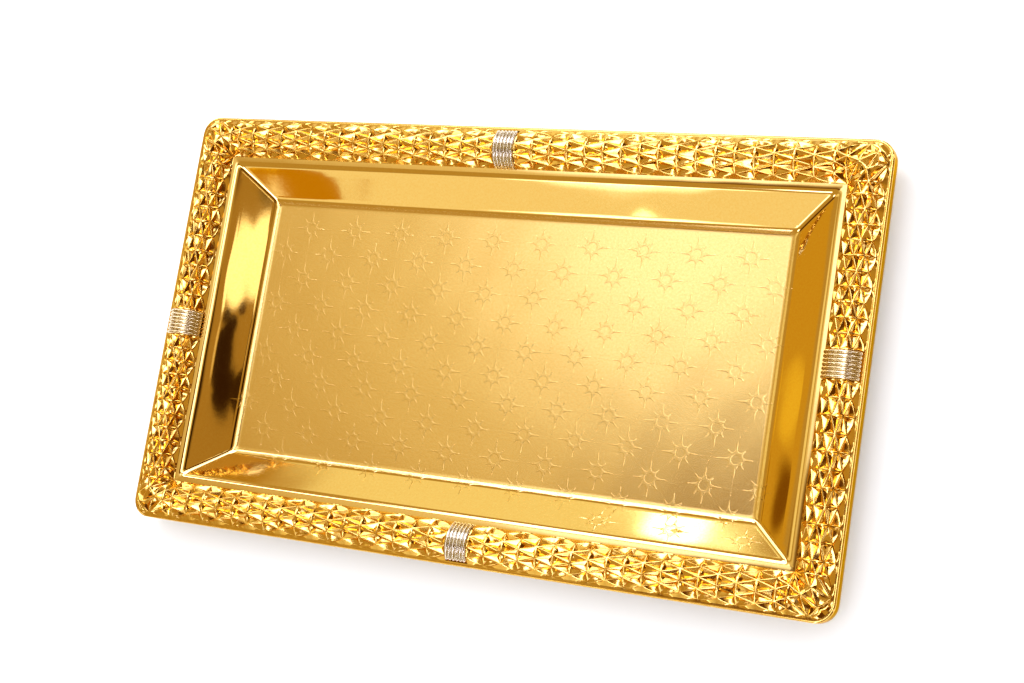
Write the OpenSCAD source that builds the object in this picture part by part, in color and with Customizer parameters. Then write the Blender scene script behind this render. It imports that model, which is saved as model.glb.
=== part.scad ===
// Rectangular serving tray: a pressed pan inside four mitred, half-round rim
// mouldings, each bound near its middle by a band of silver wires.
// Lies flat: +Z up, +X along its length, origin under the middle of the floor.

/* [Tray] */
// Overall length, left to right
tray_l = 400; // [340:5:460]
// Overall width, front to back
tray_w = 230; // [200:5:270]
// Radius of the four outer corners, in plan
corner_r = 10; // [8:0.5:14]

/* [Pan] */
// Thickness of the pressed sheet
sheet_t = 1; // [0.8:0.1:1.2]
// Depth of the basin, from the ledge down to the floor
basin_depth = 14.5; // [10:0.5:20]
// Distance from the tray's outer edge to the floor, at the two short sides
floor_inset_x = 48; // [44:0.5:56]
// Distance from the tray's outer edge to the floor, at the two long sides
floor_inset_y = 43.5; // [40:0.5:52]
// Width of the plain ledge between the moulding and the sloping wall
ledge_w = 3.5; // [2.5:0.5:5]

/* [Rim moulding] */
// Distance from the tray's outer edge to the moulding's inner foot
rim_w = 22; // [18:0.5:26]
// Width of the plain lip outside the moulding
lip_w = 2; // [1.5:0.1:3]
// Height of the lip above the ledge
lip_rise = 3; // [2:0.5:4]
// Height of the half-round above the line from its inner foot to the lip
crown_rise = 6; // [5:0.25:7]
// Depth of the pressed relief and its sheet together
rim_t = 1.6; // [1.4:0.1:2]
// Height of the outer skirt, from the lip down to the wired edge
skirt_h = 8; // [7:0.5:10]

/* [Wired edge] */
// Radius of the steel wire that stiffens the edge
edge_wire_r = 1; // [0.8:0.1:1.2]
// Thickness of the sheet curled round it
curl_t = 0.8; // [0.6:0.1:1]

/* [Silver bands] */
// Wires laid side by side in the bands of the two long sides
wires_long = 6; // [5:1:8]
// Wires laid side by side in the bands of the two short sides
wires_short = 7; // [5:1:8]
// Radius of one band wire
wire_r = 1; // [0.7:0.05:1.1]
// Depth of the plain seat that a band lies in
seat_depth = 1; // [0.6:0.1:1.2]
// Distance of each band from its side's middle, going anticlockwise from above
band_shift = 5; // [0:1:20]

/* [Hidden] */
$fn = 96;
SIDES = ["front", "right", "back", "left"];

floor_z = sheet_t;
ledge_z = floor_z + basin_depth;
lip_z = ledge_z + lip_rise;
well_inset = rim_w + ledge_w;

// Half-round: a circle through the lip's inner edge and the moulding's foot.
chord = norm([rim_w - lip_w, lip_rise]);
arc_r = (chord * chord / 4 + crown_rise * crown_rise) / (2 * crown_rise);
arc_drop = arc_r - crown_rise;
arc_u = (lip_w + rim_w) / 2 - arc_drop * lip_rise / chord;
arc_z = (lip_z + ledge_z) / 2 - arc_drop * (rim_w - lip_w) / chord;

// Curl at the foot of the skirt, the rounded top of the lip and its thickness.
curl_r = edge_wire_r + curl_t;
curl_z = lip_z - skirt_h + curl_r;
lip_round = 1;
lip_t = 2;

// Band wires ride on the seat, and end on the lip and on the ledge.
wire_path_r = arc_r - seat_depth + wire_r;
wire_inner_angle = asin((ledge_z + wire_r - arc_z) / wire_path_r);
wire_outer_angle = 180 - asin((lip_z + wire_r - arc_z) / wire_path_r);
// Clearance at each end of a band's seat.
seat_gap = 0.3;

function side_len(i) = i % 2 == 0 ? tray_l : tray_w;
function side_out(i) = (i % 2 == 0 ? tray_w : tray_l) / 2;
function side_wires(i) = i % 2 == 0 ? wires_long : wires_short;
function rim_name(i) = str("rim_", SIDES[i]);
function wire_name(i, k) = str("band_", SIDES[i], "_wire_", k);

// ---------- plan and section helpers ----------

// Rounded rectangle in plan, a given distance inside the tray's outer edge.
module plan_outline(inset) {
    r = corner_r - inset;
    x = tray_l / 2 - corner_r;
    y = tray_w / 2 - corner_r;
    square([2 * x, 2 * (y + r)], center = true);
    square([2 * (x + r), 2 * y], center = true);
    for (sx = [-1, 1]) for (sy = [-1, 1]) translate([sx * x, sy * y]) circle(r);
}

// Places children, drawn with +Y running inwards from a side's outer edge,
// at side i: 0 front, 1 right, 2 back, 3 left.
module at_side(i) {
    rotate([0, 0, 90 * i]) translate([0, -side_out(i), 0]) children();
}

// Extrudes a section, drawn as [inset, height], along X about the middle.
module along_side(length) {
    rotate([90, 0, 90]) linear_extrude(length, center = true) children();
}

// ---------- pan ----------

// Horizontal run of a wall, from the well's top edge down to the floor.
function wall_run(floor_inset) = floor_inset - well_inset;

// Section of the basin across one axis: half_top is half the well's opening.
// skin is 0 for the inside face, which also reaches 1 above the ledge to cut
// it cleanly, and sheet_t for the outside face.
module basin_section(half_top, run, skin) {
    lean = (norm([run, basin_depth]) - run) / basin_depth;
    rise = skin > 0 ? 0 : 1;
    low = half_top - run + skin * lean;
    high = low + run + rise * run / basin_depth;
    base = floor_z - skin;
    top = ledge_z - skin + rise;
    polygon([[-low, base], [low, base], [high, top], [-high, top]]);
}

// The basin as a solid: two crossed prisms, whose walls meet in four mitres.
module basin(skin) {
    run_x = wall_run(floor_inset_x);
    run_y = wall_run(floor_inset_y);
    intersection() {
        rotate([90, 0, 0]) linear_extrude(tray_w, center = true)
            basin_section(tray_l / 2 - well_inset, run_x, skin);
        rotate([90, 0, 90]) linear_extrude(tray_l, center = true)
            basin_section(tray_w / 2 - well_inset, run_y, skin);
    }
}

module pan() {
    color("gold")
    difference() {
        union() {
            basin(sheet_t);
            translate([0, 0, ledge_z - sheet_t]) linear_extrude(sheet_t) plan_outline(curl_t);
        }
        basin(0);
    }
}

// ---------- rim mouldings ----------

// Half-round shell above the ledge; sink lowers its outer face.
module crown_section(sink) {
    intersection() {
        translate([arc_u, arc_z]) difference() {
            circle(arc_r - sink);
            circle(arc_r - rim_t);
        }
        translate([0, ledge_z]) square([rim_w, arc_r]);
    }
}

// Lip, skirt and the curl round the edge wire.
module edge_section() {
    translate([lip_round, lip_z - lip_round]) circle(lip_round);
    translate([lip_round, lip_z - lip_t]) square([lip_w - lip_round, lip_t]);
    translate([0, ledge_z]) square([lip_round + curl_t / 2, lip_z - lip_round - ledge_z]);
    translate([0, curl_z]) square([curl_t, lip_z - lip_round - curl_z]);
    translate([curl_r, curl_z]) difference() {
        circle(curl_r);
        circle(edge_wire_r);
    }
}

module rim_section(sink) {
    crown_section(sink);
    edge_section();
}

// Plan of one moulding between its mitres, without the two round corners.
module mitre_plan(length) {
    half = length / 2;
    polygon([
        [corner_r - half, 0], [half - corner_r, 0], [half - corner_r, corner_r],
        [half - rim_w, rim_w], [rim_w - half, rim_w], [corner_r - half, corner_r]
    ]);
}

// Half of the round corner at the moulding's right end: a 45 degree revolve.
module round_end(length) {
    translate([length / 2 - corner_r, corner_r, 0])
        rotate([0, 0, -90])
            rotate_extrude(angle = 45)
                intersection() {
                    translate([corner_r, 0]) mirror([1, 0]) rim_section(0);
                    square([corner_r, 2 * lip_z]);
                }
}

// One moulding: full section to the left and right of the band's plain seat.
module rim(i) {
    length = side_len(i);
    seat = side_wires(i) * 2 * wire_r + 2 * seat_gap;
    left_run = (length - seat) / 2 + band_shift;
    right_run = (length - seat) / 2 - band_shift;
    color("goldenrod")
    at_side(i) {
        intersection() {
            union() {
                translate([(left_run - length) / 2, 0, 0]) along_side(left_run) rim_section(0);
                translate([(length - right_run) / 2, 0, 0]) along_side(right_run) rim_section(0);
                translate([band_shift, 0, 0]) along_side(seat) rim_section(seat_depth);
            }
            linear_extrude(2 * lip_z) mitre_plan(length);
        }
        round_end(length);
        mirror([1, 0, 0]) round_end(length);
    }
}

// ---------- wired edge ----------

module edge_wire() {
    bend_r = corner_r - curl_r;
    color("dimgray")
    for (i = [0:3]) at_side(i) {
        straight = side_len(i) - 2 * corner_r;
        translate([0, curl_r, curl_z]) rotate([0, 90, 0])
            cylinder(h = straight, r = edge_wire_r, center = true);
        translate([straight / 2, corner_r, curl_z]) rotate([0, 0, -90])
            rotate_extrude(angle = 90) translate([bend_r, 0]) circle(edge_wire_r);
    }
}

// ---------- silver bands ----------

// One wire, bent over the moulding from the lip to the ledge.
module band_wire(i, k) {
    place = band_shift + (k - (side_wires(i) + 1) / 2) * 2 * wire_r;
    color("silver")
    at_side(i) translate([place, arc_u, arc_z]) rotate([90, 0, 90])
        rotate([0, 0, wire_inner_angle])
            rotate_extrude(angle = wire_outer_angle - wire_inner_angle)
                translate([wire_path_r, 0]) circle(wire_r);
}

pan();
edge_wire();
for (i = [0:3])
    rim(i);
for (i = [0:3]) for (k = [1:side_wires(i)])
    band_wire(i, k);
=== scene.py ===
import math
import random

import bmesh
import bpy
import numpy as np
from mathutils import Matrix, Vector
from mathutils.geometry import delaunay_2d_cdt
from mathutils.kdtree import KDTree


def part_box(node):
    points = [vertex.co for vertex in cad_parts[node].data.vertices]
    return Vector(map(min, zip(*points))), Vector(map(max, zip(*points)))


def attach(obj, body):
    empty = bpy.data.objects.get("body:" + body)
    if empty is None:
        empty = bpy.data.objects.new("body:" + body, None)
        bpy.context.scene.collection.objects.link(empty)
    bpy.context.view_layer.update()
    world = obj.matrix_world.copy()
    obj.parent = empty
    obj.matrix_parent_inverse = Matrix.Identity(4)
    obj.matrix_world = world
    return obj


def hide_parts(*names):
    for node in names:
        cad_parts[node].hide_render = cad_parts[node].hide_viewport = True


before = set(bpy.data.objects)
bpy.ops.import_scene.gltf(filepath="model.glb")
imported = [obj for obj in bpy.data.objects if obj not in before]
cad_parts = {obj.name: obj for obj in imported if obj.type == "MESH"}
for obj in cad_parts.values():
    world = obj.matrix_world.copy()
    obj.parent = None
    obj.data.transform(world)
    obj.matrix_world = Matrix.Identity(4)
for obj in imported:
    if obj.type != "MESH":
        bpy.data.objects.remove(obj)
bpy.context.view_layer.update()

# Meshes are worked out in millimetres and scaled as they are made.
MM = 0.001

# ---------- sizes taken from the frame, in millimetres ----------

pan_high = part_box("pan")[1] / MM
rim_low, rim_high = (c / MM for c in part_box("rim_front"))
HALF_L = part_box("rim_right")[1].x / MM
HALF_W = -rim_low.y
LEDGE_Z = pan_high.z
RIM_W = rim_high.y + HALF_W
EDGE_GAP = HALF_L - pan_high.x

# ---------- sizes shared with the CAD parts ----------

SHEET_T = 1.0
CORNER_R = 10.0
LEDGE_W = 3.5
FLOOR_INSET = (48.0, 43.5)
LIP_W = 2.0
LIP_RISE = 3.0
CROWN_RISE = 6.0
WIRE_R = 1.0
SEAT_DEPTH = 1.0
SEAT_GAP = 0.3
BAND_SHIFT = 5.0
CURL_R = 1.8
CURL_HOLE_R = 1.0

FLOOR_Z = SHEET_T
LIP_Z = LEDGE_Z + LIP_RISE
SIDES = ("front", "right", "back", "left")
SIDE_LEN = (2 * HALF_L, 2 * HALF_W, 2 * HALF_L, 2 * HALF_W)
SIDE_OUT = (HALF_W, HALF_L, HALF_W, HALF_L)
SIDE_WIRES = (6, 7, 6, 7)

# Half-round section: a circle through the lip's inner edge and the foot.
CHORD = math.hypot(RIM_W - LIP_W, LIP_RISE)
ARC_R = (CHORD ** 2 / 4 + CROWN_RISE ** 2) / (2 * CROWN_RISE)
ARC_DROP = ARC_R - CROWN_RISE
ARC_U = (LIP_W + RIM_W) / 2 - ARC_DROP * LIP_RISE / CHORD
ARC_Z = (LIP_Z + LEDGE_Z) / 2 - ARC_DROP * (RIM_W - LIP_W) / CHORD
TURN_OUT = math.asin((LIP_W - ARC_U) / ARC_R)
TURN_IN = math.asin((RIM_W - ARC_U) / ARC_R)


# ---------- mesh helpers ----------

# Points that round to the same multiple of this, in millimetres, are one vertex.
SAME_POINT = 0.0005


def side_matrix(side):
    """Turns a side's own frame (X along it, Y inwards from its edge) into place."""
    turned = Matrix.Rotation(side * math.pi / 2, 4, "Z")
    return turned @ Matrix.Translation((0, -SIDE_OUT[side], 0))


class Shell:
    """Collects faces given by points in millimetres, joining points that coincide."""

    def __init__(self):
        self.points = []
        self.faces = []
        self.found = {}

    def vertex(self, point):
        key = tuple(round(c / SAME_POINT) for c in point)
        if key not in self.found:
            self.found[key] = len(self.points)
            self.points.append(tuple(point))
        return self.found[key]

    def face(self, corners):
        ids = []
        for corner in corners:
            i = self.vertex(corner)
            if not ids or (ids[-1] != i and ids[0] != i):
                ids.append(i)
        if len(ids) > 2:
            self.faces.append(ids)

    def strip(self, row_a, row_b):
        """Quads between two rows with the same number of points."""
        for i in range(len(row_a) - 1):
            self.face([row_a[i], row_a[i + 1], row_b[i + 1], row_b[i]])

    def bmesh(self):
        bm = bmesh.new()
        verts = [bm.verts.new(Vector(p) * MM) for p in self.points]
        for ids in self.faces:
            if len(set(ids)) == len(ids):
                bm.faces.new([verts[i] for i in ids])
        return bm


def add_object(name, mesh, node, material):
    """Puts a finished mesh into the scene in place of one CAD node."""
    obj = bpy.data.objects.new(name, mesh)
    bpy.context.scene.collection.objects.link(obj)
    mesh.materials.append(material)
    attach(obj, "root")
    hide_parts(node)
    return obj


# ---------- rim mouldings ----------

MOULDING_SEED = 11
# Levels of ridge nodes on either side of the crown.
LEVELS = 4
# Distances from the corner of the last rib, and of the odd one between it and the corner.
LAST_RIB = 28.0
CORNER_RIB = RIM_W
# Strips between ribs, on each half of a side.
STRIPS = (17, 10, 17, 10)
EDGE_STEPS = 4
# Height and width of the ridges, the plain border beside them, how deep the patches are
# dented, and how far a ridge sags between its ends.
BEAD = 0.38
BEAD_WIDTH = 0.55
BORDER = 0.7
DENT = 1.2
SAG = 0.14
SHELL_T = 2.4
# Chance shift of a patch's deepest point.
CENTRE_WANDER = 0.3
# Rings of a dented patch: share of the way in, share of the bead's drop, share of the dent.
RINGS = ((0.1, 0.14, 0.0), (0.18, 0.62, 0.0), (0.27, 1.0, 0.06), (0.62, 1.0, 0.55))
# The lens-shaped flat along a rib: how much wider and how crowned it is halfway along.
RIB_WIDEN = 0.17
RIB_CROWN = 0.2
# Corner nodes as (distance from the corner along the side, inset).
CORNER_NODE = (16.0, 12.0)
CORNER_MITRE = 14.0
CORNER_TIP = 12.2
CORNER_CROSS = 6.8
CORNER_ROOT = 4.2
# Insets of the deepest points of the three patches that the mitre cuts, and the last's depth.
FAN_INSETS = (17.6, 11.0, 5.4)
OUTER_FAN_DENT = 0.5
# Chance differences in depth.
DENT_RANGE = (0.75, 1.2)
# Plain section: where the lip's flat ends, its round, and the step inside the skirt.
LIP_FLAT = 1.5
LIP_ROUND = 1.0
SKIRT_STEP = 1.45
# Steps round the lip, the curl, the curl's hole and the inner face of the half-round.
LIP_STEPS = 6
CURL_STEPS = 18
HOLE_ARC_STEPS = 12
INNER_STEPS = 16


def turn_at(level):
    """Angle round the half-round at a level from -4, near the lip, to 4, near the foot."""
    first, last = TURN_OUT + BORDER / ARC_R, TURN_IN - BORDER / ARC_R
    return first + (level + LEVELS) / (2 * LEVELS) * (last - first)


def turn_at_inset(u):
    return math.asin((u - ARC_U) / ARC_R)


def section_point(turn, relief):
    """Inset and height of a point on the half-round, never below the ledge."""
    u = ARC_U + (ARC_R + relief) * math.sin(turn)
    return u, max(LEDGE_Z, ARC_Z + (ARC_R + relief) * math.cos(turn))


def mix(a, b, t):
    return tuple(p + (q - p) * t for p, q in zip(a, b))


def steps(count=EDGE_STEPS):
    return [i / count for i in range(count + 1)]


def ridge(a, b, sag=SAG, count=EDGE_STEPS):
    """Points (run, turn, height) along a straight ridge that sags between its ends."""
    points = []
    for t in steps(count):
        x, turn, height = mix(a, b, t)
        points.append((x, turn, height - sag * math.sin(math.pi * t)))
    return points


def arch(tip, root):
    """A ridge that leaves a border tip level and drops to its root in a quarter arch."""
    return [(tip[0] + (root[0] - tip[0]) * t,
             root[1] + (tip[1] - root[1]) * math.cos(math.pi / 2 * t), 0.0) for t in steps()]


def incentre(a, b, c):
    """Centre of a triangle's inscribed circle, measured along the surface."""
    pts = [(p[0], p[1] * ARC_R) for p in (a, b, c)]
    sizes = (math.dist(pts[1], pts[2]), math.dist(pts[2], pts[0]), math.dist(pts[0], pts[1]))
    x = sum(w * p[0] for w, p in zip(sizes, pts)) / sum(sizes)
    y = sum(w * p[1] for w, p in zip(sizes, pts)) / sum(sizes)
    return x, y / ARC_R


class Moulding:
    """One side's moulding: relief of dented patches between ridges, lip, skirt and curl."""

    def __init__(self, side):
        self.length = SIDE_LEN[side]
        self.shell = Shell()
        self.random = random.Random(MOULDING_SEED + side)
        seat = SIDE_WIRES[side] * WIRE_R + SEAT_GAP
        self.seat = (BAND_SHIFT - seat, BAND_SHIFT + seat)
        self.strips = STRIPS[side]
        self.odd_seat = self.strips % 2 == 1
        self.stations = self.list_stations()

    # ----- places -----

    def plan(self, s, u):
        """Side-frame plan position at run s and inset u, following the round corners."""
        end = max(u, self.length / 2 - abs(s))
        if end >= CORNER_R or u >= CORNER_R:
            return math.copysign(self.length / 2 - end, s), u
        r = CORNER_R - u
        swing = math.pi / 4 * (CORNER_R - end) / r
        return (math.copysign(self.length / 2 - CORNER_R + r * math.sin(swing), s),
                CORNER_R - r * math.cos(swing))

    def at(self, point):
        """Place of a point (run, turn, height) on the half-round."""
        u, z = section_point(point[1], point[2])
        return (*self.plan(point[0], u), z)

    def at_mitre(self, sign, turn, height):
        """Place of a point on the mitre at one end of the side."""
        u, z = section_point(turn, height)
        return (*self.plan(sign * (self.length / 2 - u), u), z)

    def node(self, sign, end, level):
        return (sign * (self.length / 2 - end), turn_at(level), 0.0)

    def node_at_inset(self, sign, end, u):
        return (sign * (self.length / 2 - end), turn_at_inset(u), 0.0)

    # ----- dented patches -----

    def patch(self, edges, centre, dent, mitre=0, ribs=()):
        """Rings of faces from the edges in to the centre. The edges numbered in ribs have a
        lens-shaped flat along them. With mitre set to the sign of an end, the outline is
        open, and its two ends and the centre lie on that mitre."""
        outline = [p for edge in edges for p in edge[:-1]] + [edges[-1][-1]]
        flat = [math.sin(math.pi * i / (len(edge) - 1)) if n in ribs else 0.0
                for n, edge in enumerate(edges) for i in range(len(edge) - 1)] + [0.0]
        rows = [[self.at(p) for p in outline]]
        for share, drop, deep in RINGS:
            row = []
            for i, p in enumerate(outline):
                x, turn = mix(p[:2], centre, share + RIB_WIDEN * flat[i] * (1 - share) ** 2)
                fall = min(1, drop + RIB_CROWN * flat[i])
                height = -BEAD + (p[2] + BEAD) * (1 - fall) - dent * deep
                on_mitre = mitre and i in (0, len(outline) - 1)
                row.append(self.at_mitre(mitre, turn, height) if on_mitre
                           else self.at((x, turn, height)))
            rows.append(row)
        for outer, inner in zip(rows, rows[1:]):
            self.shell.strip(outer, inner)
        height = -BEAD - dent
        middle = (self.at_mitre(mitre, centre[1], height) if mitre
                  else self.at((*centre, height)))
        for a, b in zip(rows[-1], rows[-1][1:]):
            self.shell.face([a, b, middle])

    def triangle(self, a, b, c, bc=None, ca=None, rib=True):
        """A dented triangle, with its first edge on a rib unless rib is False. An edge that
        isn't straight is given as its points."""
        x, turn = incentre(a, b, c)
        x += self.random.uniform(-CENTRE_WANDER, CENTRE_WANDER)
        turn += self.random.uniform(-CENTRE_WANDER, CENTRE_WANDER) / ARC_R
        dent = DENT * self.random.uniform(*DENT_RANGE)
        edges = (ridge(a, b, 0 if rib else SAG), bc or ridge(b, c), ca or ridge(c, a))
        self.patch(edges, (x, turn), dent, ribs=(0,) if rib else ())

    def fan(self, sign, edges, centre_inset, dent=DENT):
        """Half of a patch that the mitre cuts in two."""
        centre = (sign * (self.length / 2 - centre_inset), turn_at_inset(centre_inset))
        self.patch(edges, centre, dent, mitre=sign)

    def ground_row(self, path, end_turn):
        """Plain ground from a path of ridge points out to the line at end_turn."""
        lean = math.copysign(BEAD_WIDTH / ARC_R, end_turn)
        self.shell.strip([self.at(p) for p in path],
                         [self.at((p[0], p[1] + lean, -BEAD)) for p in path])
        self.shell.strip([self.at((p[0], p[1] + lean, -BEAD)) for p in path],
                         [self.at((p[0], end_turn, 0.0)) for p in path])

    def zigzag(self, even, odd):
        """Triangles between a rib whose nodes are on even levels and one on odd levels."""
        for level in range(-LEVELS, LEVELS, 2):
            a, b = ((even, turn_at(level + step), 0.0) for step in (0, 2))
            c = (odd, turn_at(level + 1), 0.0)
            first, last = level == -LEVELS, level + 2 == LEVELS
            self.triangle(a, b, c, bc=arch(b, c) if last else None,
                          ca=arch(a, c)[::-1] if first else None)
            if first:
                self.ground_row(arch(a, c), TURN_OUT)
            if last:
                self.ground_row(arch(b, c), TURN_IN)
        for level in range(1 - LEVELS, LEVELS - 1, 2):
            self.triangle((odd, turn_at(level), 0.0), (odd, turn_at(level + 2), 0.0),
                          (even, turn_at(level + 1), 0.0))

    def rib_runs(self, sign):
        """Runs of the ribs from the last one before the corner to the seat's edge."""
        start = sign * (self.length / 2 - LAST_RIB)
        stop = self.seat[1] if sign > 0 else self.seat[0]
        return [start + (stop - start) * i / self.strips for i in range(self.strips + 1)]

    def field(self, sign):
        runs = self.rib_runs(sign)
        for i, (a, b) in enumerate(zip(runs, runs[1:])):
            self.zigzag(*((a, b) if i % 2 == 0 else (b, a)))

    # ----- corner -----

    def corner(self, sign):
        """Larger leaves that meet on the mitre, between the last rib and the corner."""
        rib = {level: self.node(sign, LAST_RIB, level) for level in range(-4, 5, 2)}
        odd = {level: self.node(sign, CORNER_RIB, level) for level in (-3, -1, 1)}
        inner = (sign * (self.length / 2 - RIM_W), TURN_IN, 0.0)
        node = self.node_at_inset(sign, *CORNER_NODE)
        mitre = self.node_at_inset(sign, CORNER_MITRE, CORNER_MITRE)
        tip = self.node(sign, CORNER_TIP, -LEVELS)
        cross = self.node_at_inset(sign, CORNER_CROSS, CORNER_CROSS)
        root = self.node_at_inset(sign, CORNER_ROOT, CORNER_ROOT)
        foot = ridge(rib[4], inner, SAG, len(self.corner_stations(sign)) - 1)
        self.triangle(rib[-4], rib[-2], odd[-3], ca=arch(rib[-4], odd[-3])[::-1])
        self.triangle(rib[-2], rib[0], odd[-1])
        self.triangle(rib[0], rib[2], odd[1])
        self.triangle(rib[2], rib[4], inner, bc=foot)
        self.triangle(odd[-3], odd[-1], rib[-2])
        self.triangle(odd[-1], odd[1], rib[0])
        self.triangle(odd[1], inner, rib[2])
        self.triangle(odd[-1], odd[1], node)
        self.triangle(odd[1], inner, node)
        self.triangle(odd[-1], node, tip, rib=False)
        self.triangle(odd[-3], odd[-1], tip, ca=arch(tip, odd[-3]))
        self.triangle(node, tip, cross, rib=False)
        self.fan(sign, (ridge(mitre, node), ridge(node, inner)), FAN_INSETS[0])
        self.fan(sign, (ridge(cross, node), ridge(node, mitre)), FAN_INSETS[1])
        self.fan(sign, (ridge(cross, tip), arch(tip, root)), FAN_INSETS[2], OUTER_FAN_DENT)
        self.ground_row(arch(rib[-4], odd[-3]), TURN_OUT)
        self.ground_row(arch(tip, odd[-3]), TURN_OUT)
        self.corner_ground(sign, foot, TURN_IN, RIM_W)
        self.corner_ground(sign, arch(tip, root), TURN_OUT, LIP_W)

    def corner_ground(self, sign, path, end_turn, end_inset):
        """Plain ground beside a path that ends on the mitre."""
        stations = self.corner_stations(sign)[-len(path):]
        lean = math.copysign(BEAD_WIDTH / ARC_R, end_turn)
        rows = [[], [], []]
        for p, station in zip(path, stations):
            on_mitre = station[1] == 1.0
            last = p[1] + lean
            if abs(last) > abs(end_turn):
                last = (p[1] + end_turn) / 2
            drop = BEAD * min(1, abs(end_turn - p[1]) / abs(lean))
            end_run = self.station_run(station, end_inset)
            for row, q in zip(rows, (p, (p[0], last, -drop), (end_run, end_turn, 0.0))):
                row.append(self.at_mitre(sign, *q[1:]) if on_mitre else self.at(q))
        self.shell.strip(rows[0], rows[1])
        self.shell.strip(rows[1], rows[2])

    # ----- stations along the side, for the lip, skirt, curl and inner face -----

    def corner_stations(self, sign):
        """Stations from the last rib to the mitre, as (sign, share of the way)."""
        ends = [LAST_RIB, CORNER_RIB, CORNER_TIP, LIP_W]
        shares = []
        for a, b in zip(ends, ends[1:]):
            shares += [(LAST_RIB - a - (b - a) * t) / (LAST_RIB - LIP_W) for t in steps()[:-1]]
        return [(sign, share) for share in shares + [1.0]]

    def station_run(self, station, u):
        """Run of a station on the line at inset u; in a corner it closes on the mitre."""
        sign, value = station
        if sign == 0:
            return value
        return sign * (self.length / 2 - LAST_RIB - value * (u - LAST_RIB))

    def list_stations(self):
        """Every station, from the left mitre to the right, with its height on the border."""
        right = [(st, 0.0) for st in self.corner_stations(1)]
        left = [((-1, st[1]), h) for st, h in right][::-1]
        runs = {}
        for sign in (-1, 1):
            ribs = self.rib_runs(sign)
            line = [((0, a + (b - a) * t), 0.0) for a, b in zip(ribs, ribs[1:])
                    for t in steps()[:-1]]
            runs[sign] = line + [((0, ribs[-1]), 0.0), ((0, ribs[-1]), -SEAT_DEPTH)]
        return left + runs[-1][1:] + runs[1][::-1][:-1] + right

    def border_row(self, turn):
        """The line that the relief ends on, at the lip or at the foot."""
        nominal = RIM_W if turn > 0 else LIP_W
        row = []
        for station, height in self.stations:
            u, z = section_point(turn, height)
            run = self.station_run(station, nominal)
            row.append((*self.plan(run, nominal if height == 0.0 else u), z))
        return row

    def section_row(self, u, z):
        return [(*self.plan(self.station_run(station, u), u), z)
                for station, _ in self.stations]

    def section(self):
        """Insets and heights from the lip's inner edge round the skirt, the curl and the
        inner face of the half-round to its foot."""
        points = [(LIP_W, LIP_Z), (LIP_FLAT, LIP_Z)]
        points += arc_points(LIP_ROUND, LIP_Z - LIP_ROUND, LIP_ROUND, 90, 180, LIP_STEPS)
        curl_z = rim_low.z + CURL_R
        points += arc_points(CURL_R, curl_z, CURL_R, 180, 450, CURL_STEPS)
        points += arc_points(CURL_R, curl_z, CURL_HOLE_R, 450, 180, HOLE_ARC_STEPS)
        points += [(CURL_R - CURL_HOLE_R, LEDGE_Z), (SKIRT_STEP, LEDGE_Z)]
        inner_r = ARC_R - SHELL_T
        low = math.degrees(math.acos((LEDGE_Z - ARC_Z) / inner_r))
        points += arc_points(ARC_U, ARC_Z, inner_r, 90 + low, 90 - low, INNER_STEPS)
        return points

    def seat_surface(self):
        """Plain seat under the band, with a step up to the relief at both ends."""
        last = LEVELS - 1 if self.odd_seat else LEVELS
        lean = BEAD_WIDTH / ARC_R
        levels = [(TURN_OUT, 0.0), (turn_at(-last) - lean, -BEAD)]
        for level in range(-last, last, 2):
            a, b = turn_at(level), turn_at(level + 2)
            levels += [(a + (b - a) * t, 0.0) for t in steps()[:-1]]
        levels += [(turn_at(last), 0.0), (turn_at(last) + lean, -BEAD), (TURN_IN, 0.0)]
        rows = []
        for run in self.seat:
            top = [self.at((run, turn, height)) for turn, height in levels]
            low = [self.at((run, turn, -SEAT_DEPTH)) for turn, height in levels]
            self.shell.strip(top, low)
            rows.append(low)
        self.shell.strip(*rows)

    def build(self):
        for sign in (-1, 1):
            self.field(sign)
            self.corner(sign)
        self.seat_surface()
        rows = [self.border_row(TURN_OUT)]
        rows += [self.section_row(u, z) for u, z in self.section()]
        rows.append(self.border_row(TURN_IN))
        for a, b in zip(rows, rows[1:]):
            self.shell.strip(a, b)
        return self.shell


def arc_points(u, z, r, start, stop, count):
    """Points round an arc, with angles in degrees from the inward direction."""
    angles = [math.radians(start + (stop - start) * i / count) for i in range(count + 1)]
    return [(u + r * math.cos(angle), z + r * math.sin(angle)) for angle in angles]


# Edges that bend by more than these angles, in degrees, look sharp.
MOULDING_SHARP = 30
WIRE_SHARP = 50


def finish_mesh(name, bm, matrix, sharp_angle):
    """Closes, orients and shades a mesh, and turns it into place."""
    open_edges = [e for e in bm.edges if e.is_boundary]
    bmesh.ops.holes_fill(bm, edges=open_edges, sides=0)
    bmesh.ops.recalc_face_normals(bm, faces=bm.faces)
    bm.transform(matrix)
    mesh = bpy.data.meshes.new(name)
    bm.to_mesh(mesh)
    bm.free()
    for polygon in mesh.polygons:
        polygon.use_smooth = True
    mesh.set_sharp_from_angle(angle=math.radians(sharp_angle))
    return mesh


def add_mouldings(material):
    for side, name in enumerate(SIDES):
        bm = Moulding(side).build().bmesh()
        place = side_matrix(side)
        place.translation *= MM
        mesh = finish_mesh(f"moulding_{name}", bm, place, MOULDING_SHARP)
        add_object(f"moulding_{name}", mesh, f"rim_{name}", material)


# ---------- pan ----------

# How softly the folds are blended, and how far to either side of a fold the sheet bends.
FILLET_FLOOR = 1.9
FILLET_LEDGE = 1.2
FILLET_MITRE = 1.9
FOLD_REACH = 3.05
LEDGE_FOLD_REACH = 1.9
# Fall of the ledge towards the well, along the short and the long sides.
LEDGE_TILT = (0.06, 0.07)
# How far the walls at the ends bulge halfway up.
WALL_BULGE = 0.1
TILT_BLEND = 2.0
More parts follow.
